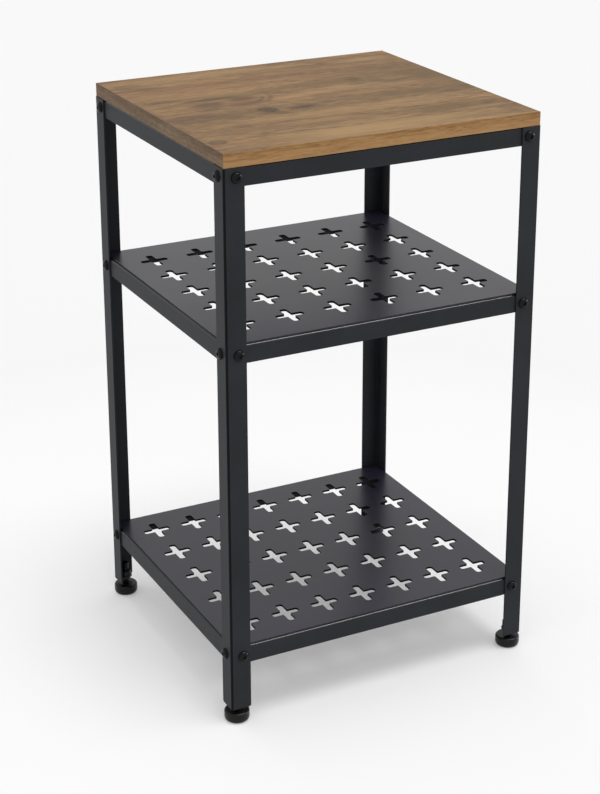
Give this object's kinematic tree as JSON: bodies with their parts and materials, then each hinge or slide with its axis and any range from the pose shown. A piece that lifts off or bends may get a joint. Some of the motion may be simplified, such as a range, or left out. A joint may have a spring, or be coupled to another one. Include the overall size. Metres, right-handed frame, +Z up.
{
  "type": "end table with shelf",
  "caption": "Tall end table with a wood-grain board top on a black steel angle frame, open shelves of perforated sheet and round levelling feet.",
  "frame": {"origin": "on the floor under the middle of the table", "axes": "+X to the right along the wider side, +Y to the back, +Z up"},
  "size_m": [0.4072, 0.3772, 0.691],
  "materials": {
    "board_foil": "matt wood-grain foil on particleboard",
    "edge_band": "matt wood-grain edge band",
    "powder_coat": "satin black powder coat",
    "black_fastener": "satin black",
    "zinc_steel": "bright zinc plating",
    "glide_plastic": "semi-gloss black moulding"
  },
  "bodies": {
    "table": {"leg_front_left": "powder_coat", "leg_front_right": "powder_coat", "leg_back_right": "powder_coat", "leg_back_left": "powder_coat", "upper_rail_front": "powder_coat", "upper_rail_right": "powder_coat", "upper_rail_back": "powder_coat", "upper_rail_left": "powder_coat", "upper_leg_bolts": "black_fastener", "upper_leg_nuts": "zinc_steel", "middle_rail_front": "powder_coat", "middle_rail_right": "powder_coat", "middle_rail_back": "powder_coat", "middle_rail_left": "powder_coat", "middle_leg_bolts": "black_fastener", "middle_leg_nuts": "zinc_steel", "lower_rail_front": "powder_coat", "lower_rail_right": "powder_coat", "lower_rail_back": "powder_coat", "lower_rail_left": "powder_coat", "lower_leg_bolts": "black_fastener", "lower_leg_nuts": "zinc_steel", "middle_shelf_panel": "powder_coat", "lower_shelf_panel": "powder_coat", "top_board": "board_foil", "edge_band_front": "edge_band", "edge_band_right": "edge_band", "edge_band_back": "edge_band", "edge_band_left": "edge_band", "board_screws": "zinc_steel", "foot_tab_front_left": "powder_coat", "foot_tab_front_right": "powder_coat", "foot_tab_back_right": "powder_coat", "foot_tab_back_left": "powder_coat", "foot_weld_nuts": "powder_coat"},
    "foot_front_left": {"foot_glide_front_left": "glide_plastic", "foot_stud_front_left": "black_fastener"},
    "foot_front_right": {"foot_glide_front_right": "glide_plastic", "foot_stud_front_right": "black_fastener"},
    "foot_back_right": {"foot_glide_back_right": "glide_plastic", "foot_stud_back_right": "black_fastener"},
    "foot_back_left": {"foot_glide_back_left": "glide_plastic", "foot_stud_back_left": "black_fastener"}
  },
  "joints": [
    {"name": "foot_front_left_travel", "type": "slide", "parent": "table", "child": "foot_front_left", "axis": [0, 0, -1], "range_m": [-0.005, 0.011]},
    {"name": "foot_front_right_travel", "type": "slide", "parent": "table", "child": "foot_front_right", "axis": [0, 0, -1], "range_m": [-0.005, 0.011]},
    {"name": "foot_back_right_travel", "type": "slide", "parent": "table", "child": "foot_back_right", "axis": [0, 0, -1], "range_m": [-0.005, 0.011]},
    {"name": "foot_back_left_travel", "type": "slide", "parent": "table", "child": "foot_back_left", "axis": [0, 0, -1], "range_m": [-0.005, 0.011]}
  ]
}
